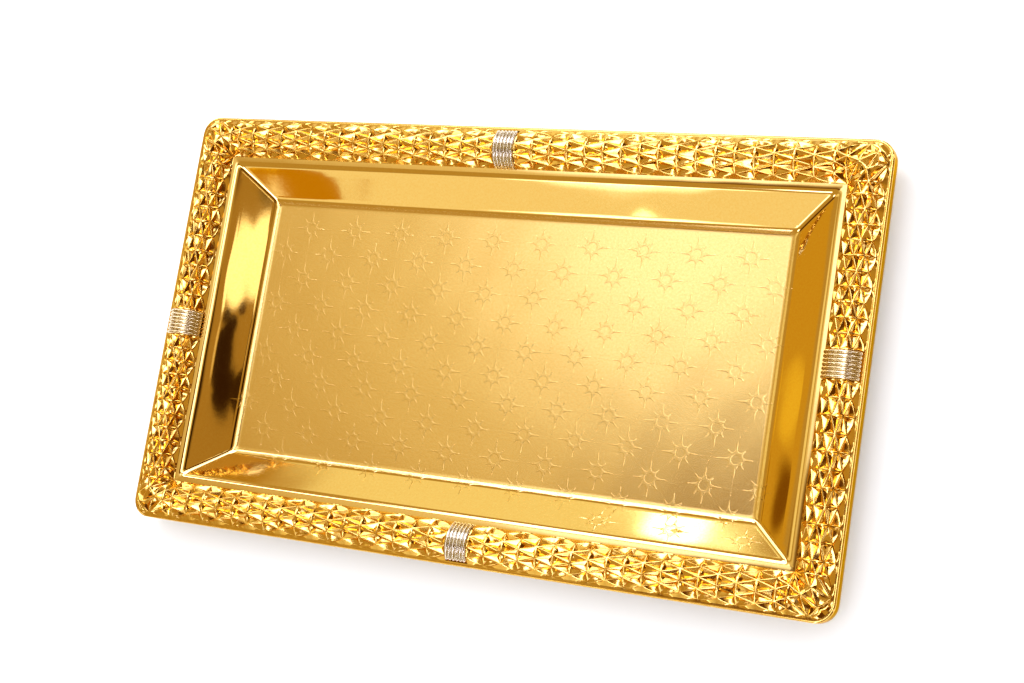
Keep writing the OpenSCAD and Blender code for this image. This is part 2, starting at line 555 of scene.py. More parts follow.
# Slow swells of the sheet: lengths, turn of the first, turn between them, and wobble.
WAVE_HEIGHT = 0.016
WAVE_LENGTHS = (41.0, 67.0, 29.0)
WAVE_TURN = 1.1
WAVE_TURN_STEP = 2.3
WAVE_WOBBLE = 1.7
PATTERN_SEED = 5
# Lattice of the stars: its pitch and where one of them is.
STAR_PITCH = 28.7
STAR_ORIGIN = (16.0, 0.0)
# Radii of a star at its long and short tips, at the valleys between and at its hole.
STAR_LONG = 9.5
STAR_SHORT = 6.9
STAR_VALLEY = 3.7
STAR_HOLE = 2.4
STAR_RAISED = 0.024
STAR_BEVEL = 0.24
# Points down one side of a star's arm: share of the way to the tip, and half the width.
STAR_ARM = ((0.14, 0.75), (0.34, 0.42), (0.9, 0.24))
HOLE_STEPS = 20
# A star's top: how much shorter its arms are, in bevels, and how much narrower.
TIP_BEVELS = 1.6
TOP_NARROW = 0.4
# Chance differences between stars: turn in radians, reach and width of their arms.
STAR_TURN = 0.03
ARM_REACH = (0.9, 1.06)
ARM_WIDTH = (0.85, 1.2)
# Columns and rows of the lattice on either side of its middle, more than the tray holds.
LATTICE = (8, 5)
# How far the front wall's draw has pulled the pattern along, and where that begins.
PATTERN_DRAWN = 8.0
DRAWN_FROM = -8.0
# Stars left whole on the front wall: runs, place in the flat pattern, and how the draw has
# stretched them along the wall and up it.
WALL_STAR_RUNS = (74.0, 113.0, 149.0)
WALL_STAR_PLACE = -84.5
WALL_STAR_STRETCH = (1.15, 0.83)
WALL_STAR_RAISED = 0.045
# The pattern ends at this share of the way up the walls, and this far from the mitres.
WALL_CLEAR = 0.93
MITRE_CLEAR = 0.12
# Dashed lines between the stars: dashes in a line, where it starts, and a dash's part.
DASHES = 5
DASH_START = 1.08
DASH_PART = 0.6
DASH_WIDTH = 0.3
DASH_RAISED = 0.013
# Small scuffs on the floor, as (x, y, turn in degrees, length).
SCUFFS = (
    (68.5, -33.5, 78, 2.2),
    (67.0, -38.0, 70, 1.8),
    (62.5, -37.0, 62, 2.6),
    (61.0, -41.5, 62, 2.0),
)
SCUFF_DEPTH = 0.14
# Under the moulding, and this far past it, the sheet has no swells.
STILL_MARGIN = 0.5
# Heights that differ by no more than this are level.
LEVEL_TOLERANCE = 0.01
# The floor's satin finish ends at this height above it, and the front wall has a share.
FLOOR_MARGIN = 0.6
FRONT_SATIN = 0.3
WELL_INSET = RIM_W + LEDGE_W
WALL_DROP = LEDGE_Z - FLOOR_Z
HALF = np.array((HALF_L, HALF_W))


def smooth_max(a, b, blend):
    return np.maximum(a, b) + np.clip(blend - np.abs(a - b), 0, None) ** 2 / (4 * blend)


def wall_slopes():
    return [WALL_DROP / (inset - WELL_INSET) for inset in FLOOR_INSET]


def waves(xy):
    """Slow swells of a pressed sheet, in millimetres."""
    total = 0.0
    for i, length in enumerate(WAVE_LENGTHS):
        turn = WAVE_TURN + WAVE_TURN_STEP * i
        along = xy[:, 0] * math.cos(turn) + xy[:, 1] * math.sin(turn)
        across = xy[:, 1] * math.cos(turn) - xy[:, 0] * math.sin(turn)
        wobble = WAVE_WOBBLE * np.sin(across / length)
        total = total + np.sin(along * 2 * math.pi / length + wobble)
    return total * WAVE_HEIGHT


def pan_height(xy):
    """Height of the pan's upper face: floor, four walls and ledge, blended at the folds."""
    inset = HALF - np.abs(xy)
    slopes = wall_slopes()
    walls = [FLOOR_Z + (FLOOR_INSET[i] - inset[:, i]) * slopes[i] for i in range(2)]
    share = (FLOOR_INSET[0] - inset[:, 0]) / (FLOOR_INSET[0] - WELL_INSET)
    walls[0] = walls[0] + WALL_BULGE * np.sin(np.pi * np.clip(share, 0, 1))
    z = smooth_max(smooth_max(walls[0], walls[1], FILLET_MITRE), FLOOR_Z, FILLET_FLOOR)
    short = np.clip((inset[:, 1] - inset[:, 0]) / TILT_BLEND + 0.5, 0, 1)
    tilt = LEDGE_TILT[0] * short + LEDGE_TILT[1] * (1 - short)
    ledge = LEDGE_Z - tilt * np.clip(np.min(inset, axis=1) - RIM_W, 0, 2 * LEDGE_W)
    return -smooth_max(-z, -ledge, FILLET_LEDGE)


def slope_of(height, xy):
    """Gradient of a height function, from differences."""
    step = 0.02
    dx = (height(xy + (step, 0)) - height(xy - (step, 0))) / (2 * step)
    dy = (height(xy + (0, step)) - height(xy - (0, step))) / (2 * step)
    return dx, dy


# Distances from a row's corner at which it has points, where the mitre fold bends it.
CORNER_STEPS = (0.0, 0.7, 1.4, 2.2, 3.2)
# Rows across a bend, as shares of its reach, and rows up the walls, as shares of the way.
FOLD_SHIFTS = (-1.0, -0.66, -0.33, 0.0, 0.33, 0.66, 1.0)
WALL_SHARES = (0.24, 0.4, 0.56, 0.72)
# Rows along a mitre fold: distances from it, and first share, last share and count along it.
MITRE_SHIFTS = (-2.0, -1.35, -0.7, 0, 0.7, 1.35, 2.0)
MITRE_SHARES = (0.1, 0.92, 24)
RIM_ARC_STEPS = 8
# Spacing of the points of the upper and the lower face, and gaps kept between them.
UPPER_SPACING = 5.0
LOWER_SPACING = 10.0
FILLER_SPACING = 6.0
FILLER_START = 0.3
MITRE_GAP = 0.4
FILLER_GAP = 2.0


def rectangle_row(inset_x, inset_y, spacing):
    """Points along a rectangle in plan at the given insets, closer near its corners."""
    x, y = HALF_L - inset_x, HALF_W - inset_y
    points = []
    corners = ((-x, -y), (x, -y), (x, y), (-x, y))
    for a, b in zip(corners, corners[1:] + corners[:1]):
        length = math.dist(a, b)
        middle = length - 2 * CORNER_STEPS[-1]
        count = round(middle / spacing)
        along = list(CORNER_STEPS)
        along += [CORNER_STEPS[-1] + middle * i / count for i in range(1, count)]
        along += [length - step for step in reversed(CORNER_STEPS[1:])]
        points += [mix(a, b, d / length) for d in along]
    return points


def inset_at(share, shift=0.0):
    """Insets of the line at a share of the way up the walls, shifted outwards."""
    return [inset + (WELL_INSET - inset) * share - shift for inset in FLOOR_INSET]


def fold_rows(spacing):
    """Closed rows of points along the folds at the floor and the ledge, closer together
    where the sheet bends."""
    rows = []
    for shift in FOLD_SHIFTS:
        rows.append(rectangle_row(*inset_at(0, shift * FOLD_REACH), spacing))
        rows.append(rectangle_row(*inset_at(1, shift * LEDGE_FOLD_REACH), spacing))
    for share in WALL_SHARES:
        rows.append(rectangle_row(*inset_at(share), spacing))
    rows.append(rectangle_row(RIM_W, RIM_W, spacing))
    rows.append(rectangle_row(RIM_W / 2, RIM_W / 2, 2 * spacing))
    return rows


def mitre_points():
    """Rows of points along the four folds where two walls meet."""
    points = []
    low, high = [HALF - inset for inset in (FLOOR_INSET, (WELL_INSET, WELL_INSET))]
    across = np.array((high[1] - low[1], low[0] - high[0]))
    across /= np.linalg.norm(across)
    for shift in MITRE_SHIFTS:
        for share in np.linspace(*MITRE_SHARES):
            x, y = low + (high - low) * share + across * shift
            points += [(x, y), (-x, y), (x, -y), (-x, -y)]
    return points


def rim_outline():
    """Outline of the pan's edge: a rounded rectangle with arcs at its corners."""
    r = CORNER_R - EDGE_GAP
    cx, cy = HALF_L - CORNER_R, HALF_W - CORNER_R
    points = []
    for quarter, (sx, sy) in enumerate(((1, 1), (-1, 1), (-1, -1), (1, -1))):
        for i in range(RIM_ARC_STEPS + 1):
            angle = math.pi / 2 * (quarter + i / RIM_ARC_STEPS)
            points.append((sx * cx + r * math.cos(angle), sy * cy + r * math.sin(angle)))
    return points


def unfold(xy, power=-1):
    """Maps a point of the flat pattern on to the pan, letting it run up the walls. With
    power 1 it does the opposite."""
    out = []
    for i, slope in enumerate(wall_slopes()):
        edge = HALF[i] - FLOOR_INSET[i]
        over = max(0.0, abs(xy[i]) - edge) * math.hypot(1, slope) ** power
        out.append(math.copysign(min(abs(xy[i]), edge) + over, xy[i]))
    return tuple(out)


def wall_shares(xy):
    """How far up the end walls and the long walls a point is, from 0 to 1."""
    inset = HALF - np.abs(xy)
    return [(FLOOR_INSET[i] - inset[i]) / (FLOOR_INSET[i] - WELL_INSET) for i in range(2)]


def search_tree(points):
    tree = KDTree(len(points))
    for i, p in enumerate(points):
        tree.insert((*p, 0), i)
    tree.balance()
    return tree


class Net:
    """Points and edges for a triangulation."""

    def __init__(self):
        self.points = []
        self.edges = []

    def loop(self, points):
        start, count = len(self.points), len(points)
        self.points += points
        self.edges += [(start + i, start + (i + 1) % count) for i in range(count)]

    def loose(self, points, gap):
        """Adds the points that are no nearer than gap to one already there."""
        tree = search_tree(self.points)
        self.points += [p for p in points if tree.find((*p, 0))[2] > gap]


class Pattern(Net):
    """Stars and the dashed lines between them, as loops of points with heights."""

    def __init__(self, seed):
        super().__init__()
        self.random = random.Random(seed)
        self.lift = []
        self.stars = {}

    def clear(self, xy):
        """True where a point is on the floor or a wall, away from the bends."""
        share = wall_shares(xy)
        on_mitre = min(share) > 0 and abs(share[0] - share[1]) < MITRE_CLEAR
        return max(share) <= WALL_CLEAR and not on_mitre

    def kept(self, centre):
        """Stars stand on the floor and the front wall; the draw has ironed out the others."""
        on_left_or_right = abs(centre[0]) > HALF[0] - FLOOR_INSET[0]
        on_back = centre[1] > HALF[1] - FLOOR_INSET[1]
        return not on_left_or_right and not on_back

    def add_loop(self, points, lift):
        self.loop(points)
        self.lift += [lift] * len(points)

    def star_loop(self, centre, turn, arms, inward, stretch):
        """A star's outline, or with inward the edge of its raised top."""
        points = []
        narrow = TOP_NARROW if inward else 1
        for arm, (reach, width) in enumerate(arms):
            side = [(STAR_VALLEY + (reach - STAR_VALLEY) * share, half * width * narrow)
                    for share, half in STAR_ARM]
            local = [(r, -half) for r, half in side]
            local.append((reach - TIP_BEVELS * inward, 0.0))
            local += side[::-1]
            valley = STAR_VALLEY - inward
            local.append((valley * math.cos(math.pi / 8), valley * math.sin(math.pi / 8)))
            angle = turn + arm * math.pi / 4
            cos, sin = math.cos(angle), math.sin(angle)
            points += [(centre[0] + (r * cos - half * sin) * stretch[0],
                        centre[1] + (r * sin + half * cos) * stretch[1]) for r, half in local]
        return points

    def star(self, centre, stretch=(1, 1), raised=STAR_RAISED):
        """Four loops: the outline and the top's edge, and the same round the hole."""
        turn = self.random.uniform(-STAR_TURN, STAR_TURN)
        arms = [((STAR_SHORT if arm % 2 else STAR_LONG) * self.random.uniform(*ARM_REACH),
                 self.random.uniform(*ARM_WIDTH)) for arm in range(8)]
        outline = self.star_loop(centre, turn, arms, 0, stretch)
        loops = [outline, self.star_loop(centre, turn, arms, STAR_BEVEL, stretch)]
        for r in (STAR_HOLE + STAR_BEVEL, STAR_HOLE):
            angles = [2 * math.pi * i / HOLE_STEPS for i in range(HOLE_STEPS)]
            loops.append([(centre[0] + r * math.cos(a) * stretch[0],
                           centre[1] + r * math.sin(a) * stretch[1]) for a in angles])
        loops = [[unfold(p) for p in loop] for loop in loops]
        if all(self.clear(p) for p in loops[0]) and self.kept(centre):
            self.stars[centre] = (outline, raised)
            for loop, lift in zip(loops, (0.0, raised, raised, 0.0)):
                self.add_loop(loop, lift)

    def height(self, xy, origin):
        """Height of the pattern at a corner of the triangulation. Its own points have
        theirs; where an edge crosses a fold row, it is worked out from the star there."""
        if origin:
            lifts = [self.lift[i] for i in origin if i < len(self.lift)]
            return max(lifts, default=0.0, key=abs)
        flat = unfold(xy, power=1)
        centre = min(self.stars, key=lambda c: math.dist(c, flat))
        outline, raised = self.stars[centre]
        depth = min(depth_inside(flat, outline), math.dist(centre, flat) - STAR_HOLE)
        return raised * max(0.0, min(1.0, depth / STAR_BEVEL))

    def on_floor(self, xy):
        return all(HALF[i] - abs(xy[i]) > FLOOR_INSET[i] + FOLD_REACH for i in range(2))

    def dash(self, a, b, lift):
        """A short raised or sunk stroke from a to b."""
        middle = mix(a, b, 0.5)
        width = DASH_WIDTH / 2 / math.dist(a, b)
        across = ((a[1] - b[1]) * width, (b[0] - a[0]) * width)
        sides = [(middle[0] + k * across[0], middle[1] + k * across[1]) for k in (1, -1)]
        if self.on_floor(a) and self.on_floor(b):
            self.add_loop([a, sides[0], b, sides[1]], 0.0)
            self.points.append(middle)
            self.lift.append(lift)

    def dashes(self, a, b):
        """A dashed line, with each dash in the middle of its share of the way."""
        for i in range(DASHES):
            first = (i + (1 - DASH_PART) / 2) / DASHES
            last = first + DASH_PART / DASHES
            self.dash(mix(a, b, first), mix(a, b, last), DASH_RAISED)

    def place(self, column, row):
        """Centre of a star of the lattice. The draw of the front wall has pulled it along."""
        x = STAR_ORIGIN[0] + column * STAR_PITCH
        y = STAR_ORIGIN[1] + row * STAR_PITCH
        drawn = max(0.0, min(1.0, (DRAWN_FROM - y) / STAR_PITCH))
        return x - PATTERN_DRAWN * drawn, y

    def fill(self):
        columns, rows = LATTICE
        tip = STAR_LONG * DASH_START
        for i in range(-columns, columns + 1):
            for j in range(-rows, rows + 1):
                for half in (0, 0.5):
                    x, y = self.place(i + half, j + half)
                    if abs(x) > HALF_L - WELL_INSET or abs(y) > HALF_W - WELL_INSET:
                        continue
                    self.star((x, y))
                    self.dashes((x + tip, y), (x + STAR_PITCH - tip, y))
                    above = self.place(i + half, j + half + 1)
                    self.dashes((x, y + tip), (above[0], above[1] - tip))
        for x in WALL_STAR_RUNS:
            self.star((x, WALL_STAR_PLACE), WALL_STAR_STRETCH, WALL_STAR_RAISED)
        for x, y, turn, length in SCUFFS:
            dx, dy = (length / 2 * f(math.radians(turn)) for f in (math.cos, math.sin))
            self.dash((x - dx, y - dy), (x + dx, y + dy), -SCUFF_DEPTH)


def depth_inside(p, loop):
    """Distance from a point inside a loop to its edge, or 0 for a point outside."""
    inside = False
    nearest = math.inf
    for a, b in zip(loop, loop[1:] + loop[:1]):
        run, rise = b[0] - a[0], b[1] - a[1]
        if (a[1] > p[1]) != (b[1] > p[1]) and p[0] < a[0] + run * (p[1] - a[1]) / rise:
            inside = not inside
        share = ((p[0] - a[0]) * run + (p[1] - a[1]) * rise) / (run ** 2 + rise ** 2)
        nearest = min(nearest, math.dist(p, mix(a, b, max(0.0, min(1.0, share)))))
    return nearest if inside else 0.0


def filler_points(spacing):
    """Loose points over the floor, in rows that are shifted by half a place in turn."""
    x_end, y_end = [HALF[i] - FLOOR_INSET[i] - FILLER_GAP for i in range(2)]
    columns, rows = int(2 * x_end / spacing), int(2 * y_end / spacing)
    return [(-x_end + (i + 0.5 * (j % 2) + FILLER_START) * spacing,
             -y_end + (j + 0.5) * spacing)
            for i in range(columns) for j in range(rows)]


def triangulate(points, edges):
    """Delaunay triangles over the points, keeping the edges. Returns the places, the
    triangles and, for each place, the input points it came from."""
    flat = [Vector(p) for p in points]
    places, _, faces, sources, _, _ = delaunay_2d_cdt(flat, edges, [], 0, 1e-5)
    return np.array([tuple(p) for p in places]), faces, sources


def satin(place):
    """How satin the upper face is: 1 on the floor, 0 on the walls but for the front one."""
    if place[2] < FLOOR_Z + FLOOR_MARGIN:
        return 1.0
    share = wall_shares(place[:2])
    return FRONT_SATIN if place[1] < 0 and share[1] > share[0] else 0.0


def upper_net(pattern):
    """Net of the upper face: pattern, edge, folds, mitres and loose points on the floor."""
    net = Net()
    net.points = list(pattern.points)
    net.edges = list(pattern.edges)
    net.loop(rim_outline())
    for row in fold_rows(UPPER_SPACING):
        net.loop(row)
    net.loose(mitre_points(), MITRE_GAP)
    net.loose(filler_points(FILLER_SPACING), FILLER_GAP)
    return net


def lower_net():
    net = Net()
    net.loop(rim_outline())
    for row in fold_rows(LOWER_SPACING):
        net.loop(row)
    net.loose(mitre_points(), MITRE_GAP)
    return net


def unit_rows(rows):
    return rows / np.linalg.norm(rows, axis=1)[:, None]


def upper_side(pattern):
    """Places, faces, normals and pattern lifts of the upper face."""
    net = upper_net(pattern)
    xy, faces, sources = triangulate(net.points, net.edges)
    lifts = np.array([pattern.height(p, origin) for p, origin in zip(xy, sources)])
    dx, dy = slope_of(pan_height, xy)
    swell = waves(xy)
    swell[np.min(HALF - np.abs(xy), axis=1) < RIM_W + STILL_MARGIN] = 0
    z = pan_height(xy) + swell + lifts * np.sqrt(1 + dx ** 2 + dy ** 2)
    dx, dy = slope_of(lambda q: pan_height(q) + waves(q), xy)
    normals = unit_rows(np.stack((-dx, -dy, np.ones(len(dx))), axis=1))
    return np.column_stack((xy, z)), faces, normals, lifts


def lower_side():
    """Places, faces and normals of the lower face, a sheet's thickness down."""
    net = lower_net()
    xy, faces, _ = triangulate(net.points, net.edges)
    dx, dy = slope_of(pan_height, xy)
    z = pan_height(xy) - SHEET_T * np.sqrt(1 + dx ** 2 + dy ** 2)
    normals = unit_rows(np.stack((dx, dy, -np.ones(len(dx))), axis=1))
    return np.column_stack((xy, z)), [face[::-1] for face in faces], normals


def sheet_mesh(sides):
    """Mesh of the two sides, joined round the edge. Each side is its places and faces."""
    bm = bmesh.new()
    for places, faces in sides:
        verts = [bm.verts.new(Vector(p) * MM) for p in places]
        for face in faces:
            bm.faces.new([verts[i] for i in face])
    bmesh.ops.bridge_loops(bm, edges=[edge for edge in bm.edges if edge.is_boundary])
    mesh = bpy.data.meshes.new("pan_sheet")
    bm.to_mesh(mesh)
    bm.free()
    for polygon in mesh.polygons:
        polygon.use_smooth = True
    return mesh


def shade_sheet(mesh, top, lifts, normals):
    """Sets normals and the finish attribute: red on raised stars, green where satin. The
    bevels of the pattern and the edge stay flat. The upper side's corners come first."""
    custom = []
    finish = []
    for polygon in mesh.polygons:
        corners = [mesh.loops[i].vertex_index for i in polygon.loop_indices]
        upper = max(corners) < len(top)
        edge = not upper and min(corners) < len(top)
        heights = [lifts[c] for c in corners] if upper else [0.0]
        bevel = max(heights) - min(heights) > LEVEL_TOLERANCE
        raised = float(max(heights) > LEVEL_TOLERANCE)
        for c in corners:
            custom.append(tuple(polygon.normal if edge or bevel else normals[c]))
            finish.append((raised, satin(top[c]) if upper else 0.0, 0.0, 1.0))
    mesh.normals_split_custom_set(custom)
    attribute = mesh.color_attributes.new("finish", "FLOAT_COLOR", "CORNER")
    attribute.data.foreach_set("color", np.array(finish, dtype=np.float32).ravel())


def make_pan(material):
    pattern = Pattern(PATTERN_SEED)
    pattern.fill()
    top, top_faces, top_normals, lifts = upper_side(pattern)
    low, low_faces, low_normals = lower_side()
    mesh = sheet_mesh(((top, top_faces), (low, low_faces)))
    shade_sheet(mesh, top, lifts, np.concatenate((top_normals, low_normals)))
    add_object("pan_sheet", mesh, "pan", material)


# ---------- band wires ----------

WIRE_RINGS = 40
WIRE_SIDES = 28
# How far from its ends a wire is rounded off.
WIRE_END = 0.9
# How flat a wire's very end is, as a share of its section's area.
END_FLAT = 0.12
# Rings of a wire's rounded end, as shares of its length.
END_SHARES = (0, 0.12, 0.45, 1)


def wire_ring(turn, radius):
    """Section of a wire, as (along the side, inset, height)."""
    ring = []
    for i in range(WIRE_SIDES):
        angle = 2 * math.pi * i / WIRE_SIDES
        out = ARC_R + radius * math.cos(angle)
        ring.append((radius * math.sin(angle), ARC_U + out * math.sin(turn),
                     ARC_Z + out * math.cos(turn)))
    return ring


def wire_turns():
    """Angles round the half-round at which a wire has rings, and its radius at each."""
    start = -math.acos((LIP_Z + WIRE_R - ARC_Z) / ARC_R)
    stop = math.acos((LEDGE_Z + WIRE_R - ARC_Z) / ARC_R)
    end = WIRE_END / ARC_R
    close = [share * end for share in END_SHARES]
    turns = [start + gap for gap in close]
    length = stop - start - 2 * end
    turns += [start + end + length * i / WIRE_RINGS for i in range(1, WIRE_RINGS)]
    turns += [stop - gap for gap in reversed(close)]
    rings = []
    for turn in turns:
        reach = min(1, min(turn - start, stop - turn) / end)
        rings.append((turn, WIRE_R * math.sqrt(max(END_FLAT, 1 - (1 - reach) ** 2))))
    return rings


def make_wire(name, side, run, material):
    bm = bmesh.new()
    rows = []
    for turn, radius in wire_turns():
        ring = [(run + x, u, z) for x, u, z in wire_ring(turn, radius)]
        rows.append([bm.verts.new(Vector(p) * MM) for p in ring])
    for a, b in zip(rows, rows[1:]):
        for i in range(WIRE_SIDES):
            j = (i + 1) % WIRE_SIDES
            bm.faces.new((a[i], a[j], b[j], b[i]))
    bm.faces.new(rows[0])
    bm.faces.new(rows[-1])
    place = side_matrix(side)
    place.translation *= MM
    mesh = finish_mesh(name + "_strand", bm, place, WIRE_SHARP)
    add_object(name + "_strand", mesh, name, material)


def make_wires(materials):
    """Wires of every band. The materials are for the long sides and the short sides."""
    for side, side_name in enumerate(SIDES):
        to_side = side_matrix(side).inverted()
        for k in range(SIDE_WIRES[side]):
            name = f"band_{side_name}_wire_{k + 1}"
            low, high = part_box(name)
            run = (to_side @ ((low + high) / 2 / MM)).x
            make_wire(name, side, run, materials[side % 2])


# ---------- materials ----------

# Noises, as scale and detail.
BLOTCHES = (220, 2.0)
MOULDING_PITS = (900, 2.0)
PAN_TONE = (900, 4.0)
PAN_SWELLS = (330, 4.0)
PAN_PITS = (1500, 3.0)
STREAKS = (400, 3.0)
CLOUDS = (3, 2.0)
# Places of a colour ramp's two tones, clear of the ends that noise seldom reaches.
RAMP = (0.3, 0.7)
GOLD = (1.0, 0.766, 0.336, 1)
WARM_GOLD = (0.98, 0.70, 0.26, 1)
MOULDING_GOLD = (1.0, 0.72, 0.24, 1)
MOULDING_SHADE = (0.93, 0.60, 0.14, 1)
# Painted shade: the moulding's colour darkens towards this brown where it is steep, as on the
# skirt, standing in for shade there. STEEP_FROM and STEEP_TO are the range of the normal's upward
# part over which it darkens.
PAINTED_SHADE_TONE = (0.46, 0.23, 0.03, 1)
STEEP_FROM, STEEP_TO = 0.1, 0.35
EDGE_TINT = (1.0, 0.72, 0.28, 1)
SILVER_WORN = (0.66, 0.60, 0.48, 1)
SILVER_BRIGHT = (0.93, 0.90, 0.85, 1)
CHAMPAGNE_WORN = (0.68, 0.55, 0.33, 1)
CHAMPAGNE_BRIGHT = (0.96, 0.86, 0.64, 1)
# Roughness of the moulding; of the pan's walls and floor; what a star adds; and its grain.
MOULDING_GLOSS = (0.06, 0.16)
PAN_GLOSS = (0.035, 0.18)
STAR_DULL = 0.03
PAN_GRAIN = 0.02
WIRE_GLOSS = (0.14, 0.26)
# Heights of the fine unevenness, in metres, and how much of it walls and floor show.
MOULDING_BUMP = 0.000006
PAN_BUMP = 0.000004
PAN_BUMP_SHARE = (0.4, 1)
WIRE_BUMP = 0.00001
# Fine lines along the wires: noise scales across them and along them.
ACROSS, ALONG = 3500, 60
STEEL_DARK = (0.42, 0.42, 0.43, 1)
STEEL_PALE = (0.58, 0.58, 0.59, 1)
STEEL_GLOSS = (0.28, 0.42)


class Nodes:
    """A node tree, with short ways to add nodes. A value may be another node's output."""

    def __init__(self, tree):
        self.nodes, self.links = tree.nodes, tree.links

    def feed(self, node, inputs):
        """Sets a node's inputs, or links those that are given another node's output."""
        for name, value in inputs.items():
            if isinstance(value, bpy.types.NodeSocket):
                self.links.new(value, node.inputs[name])
            else:
                node.inputs[name].default_value = value

    def add(self, kind, inputs):
        """Adds a node and returns its outputs."""
        node = self.nodes.new(kind)
        self.feed(node, inputs)
        return node.outputs

    def math(self, operation, a, b=0.0):
        node = self.nodes.new("ShaderNodeMath")
        node.operation = operation
        self.feed(node, {0: a, 1: b})
        return node.outputs["Value"]

    def spread(self, value, low, high, start=0.0, stop=1.0, kind="LINEAR"):
        """Goes from low to high as the value goes from start to stop."""
        node = self.nodes.new("ShaderNodeMapRange")
        node.interpolation_type = kind
        self.feed(node, {"Value": value, "From Min": start, "From Max": stop,
                         "To Min": low, "To Max": high})
        return node.outputs["Result"]

    def blend(self, share, a, b):
        """The colour at a share of the way from a to b."""
        node = self.nodes.new("ShaderNodeMix")
        node.data_type = "RGBA"
        self.feed(node, {"Factor": share, "A": a, "B": b})
        return node.outputs["Result"]


class Finish(Nodes):
    """A node material, with short ways to add what the finishes share."""

    def __init__(self, name, metallic=1.0):
        self.material = bpy.data.materials.new(name)
        self.material.use_nodes = True
        super().__init__(self.material.node_tree)
        self.shader = self.nodes["Principled BSDF"]
        self.give("Metallic", metallic)

    def give(self, name, value):
        """Sets or links one of the shader's own inputs."""
        self.feed(self.shader, {name: value})

    def noise(self, scale, detail, stretch=(1, 1, 1)):
        """Noise in the object's own metres, drawn out along an axis by stretch."""
        place = self.add("ShaderNodeTexCoord", {})["Object"]
        place = self.add("ShaderNodeMapping", {"Vector": place, "Scale": stretch})["Vector"]
        inputs = {"Vector": place, "Scale": scale, "Detail": detail}
        return self.add("ShaderNodeTexNoise", inputs)["Fac"]

    def colours(self, fac, low, high):
        ramp = self.nodes.new("ShaderNodeValToRGB")
        for element, position, tone in zip(ramp.color_ramp.elements, RAMP, (low, high)):
            element.position = position
            element.color = tone
        self.feed(ramp, {"Fac": fac})
        self.give("Base Color", ramp.outputs["Color"])
        return ramp.color_ramp

    def steep(self, low, high):
        """-1 on faces whose normal points up by less than low, 0 on ones above high."""
        normal = self.add("ShaderNodeTexCoord", {})["Normal"]
        upward = self.add("ShaderNodeSeparateXYZ", {"Vector": normal})["Z"]
        return self.spread(upward, -1, 0, low, high)

    def bump(self, fac, height, strength=1.0):
        inputs = {"Height": fac, "Distance": height, "Strength": strength}
        self.give("Normal", self.add("ShaderNodeBump", inputs)["Normal"])


def gold_moulding():
    finish = Finish("gilt_moulding")
    blotches = finish.noise(*BLOTCHES)
    # Painted shade: faces whose normal points little upwards, such as the skirt, are darkened
    # towards a brown tone.
    painted_shade = finish.steep(STEEP_FROM, STEEP_TO)
    ramp = finish.colours(finish.math("ADD", blotches, painted_shade), MOULDING_SHADE, MOULDING_GOLD)
    ramp.elements.new(0.0).color = PAINTED_SHADE_TONE
    finish.give("Roughness", finish.spread(blotches, *MOULDING_GLOSS))
    finish.bump(finish.noise(*MOULDING_PITS), MOULDING_BUMP)
    finish.give("Specular Tint", EDGE_TINT)
    return finish.material


def gold_pan():
    """Polished walls, a satin floor and duller stars, by the mesh's finish attribute."""
    finish = Finish("gilt_pan")
    attribute = finish.nodes.new("ShaderNodeAttribute")
    attribute.attribute_name = "finish"
    parts = finish.add("ShaderNodeSeparateColor", {"Color": attribute.outputs["Color"]})
    gloss = finish.spread(parts["Green"], *PAN_GLOSS)
    dull = finish.spread(parts["Red"], 0.0, STAR_DULL)
    grain = finish.spread(finish.noise(*PAN_PITS), -PAN_GRAIN, PAN_GRAIN)
    finish.give("Roughness", finish.math("ADD", finish.math("ADD", gloss, dull), grain))
    finish.colours(finish.noise(*PAN_TONE), WARM_GOLD, GOLD)
    shown = finish.spread(parts["Green"], *PAN_BUMP_SHARE)
    finish.bump(finish.noise(*PAN_SWELLS), PAN_BUMP, shown)
    return finish.material


def silver(name, stretch, worn, bright):
    """Drawn wire, with fine lines along it, between a worn and a bright tone."""
    finish = Finish(name)
    lines = finish.noise(1, 2.0, stretch)
    finish.colours(lines, worn, bright)
    finish.give("Roughness", finish.spread(lines, *WIRE_GLOSS))
    finish.bump(lines, WIRE_BUMP)
    return finish.material


def steel():
    finish = Finish("edge_steel")
    streaks = finish.noise(*STREAKS)
    finish.colours(streaks, STEEL_DARK, STEEL_PALE)
    finish.give("Roughness", finish.spread(streaks, *STEEL_GLOSS))
    return finish.material


# ---------- camera ----------

# Looks down on the tray from its right, rolled as if the tray leant back.
CAMERA_AT = Vector((0.4031, -0.1161, 0.8016))
CAMERA_RIGHT = Vector((0.8945, 0.1574, -0.4184))
CAMERA_FORWARD = Vector((-0.4390, 0.1337, -0.8885))
CAMERA_LENS = 60.7


def add_camera():
    data = bpy.data.cameras.new("camera")
    data.lens = CAMERA_LENS
    data.sensor_width = 36.0
    camera = bpy.data.objects.new("camera", data)
    back = -CAMERA_FORWARD.normalized()
    up = back.cross(CAMERA_RIGHT).normalized()
    right = up.cross(back)
    turn = Matrix((right, up, back)).transposed().to_4x4()
    camera.matrix_world = Matrix.Translation(CAMERA_AT) @ turn
    bpy.context.scene.collection.objects.link(camera)
    bpy.context.scene.camera = camera


# ---------- studio ----------

WHITE = (1.25, 1.25, 1.25, 1)
LAMP = (4.4, 4.4, 5.2)
STRIP = (5, 5, 5.5)
ROOM = (0.49, 0.30, 0.065)
DARK = (0.10, 0.032, 0.001)
BLACK = (0.03, 0.01, 0.002)
UMBER = (0.04, 0.015, 0.002)
LIT_GAP = (1.8, 1.5, 0.95)
AMBER = (0.56, 0.24, 0.0)


def direction(azimuth, elevation):
    a, e = math.radians(azimuth), math.radians(elevation)
    return Vector((math.cos(e) * math.cos(a), math.cos(e) * math.sin(a), math.sin(e)))


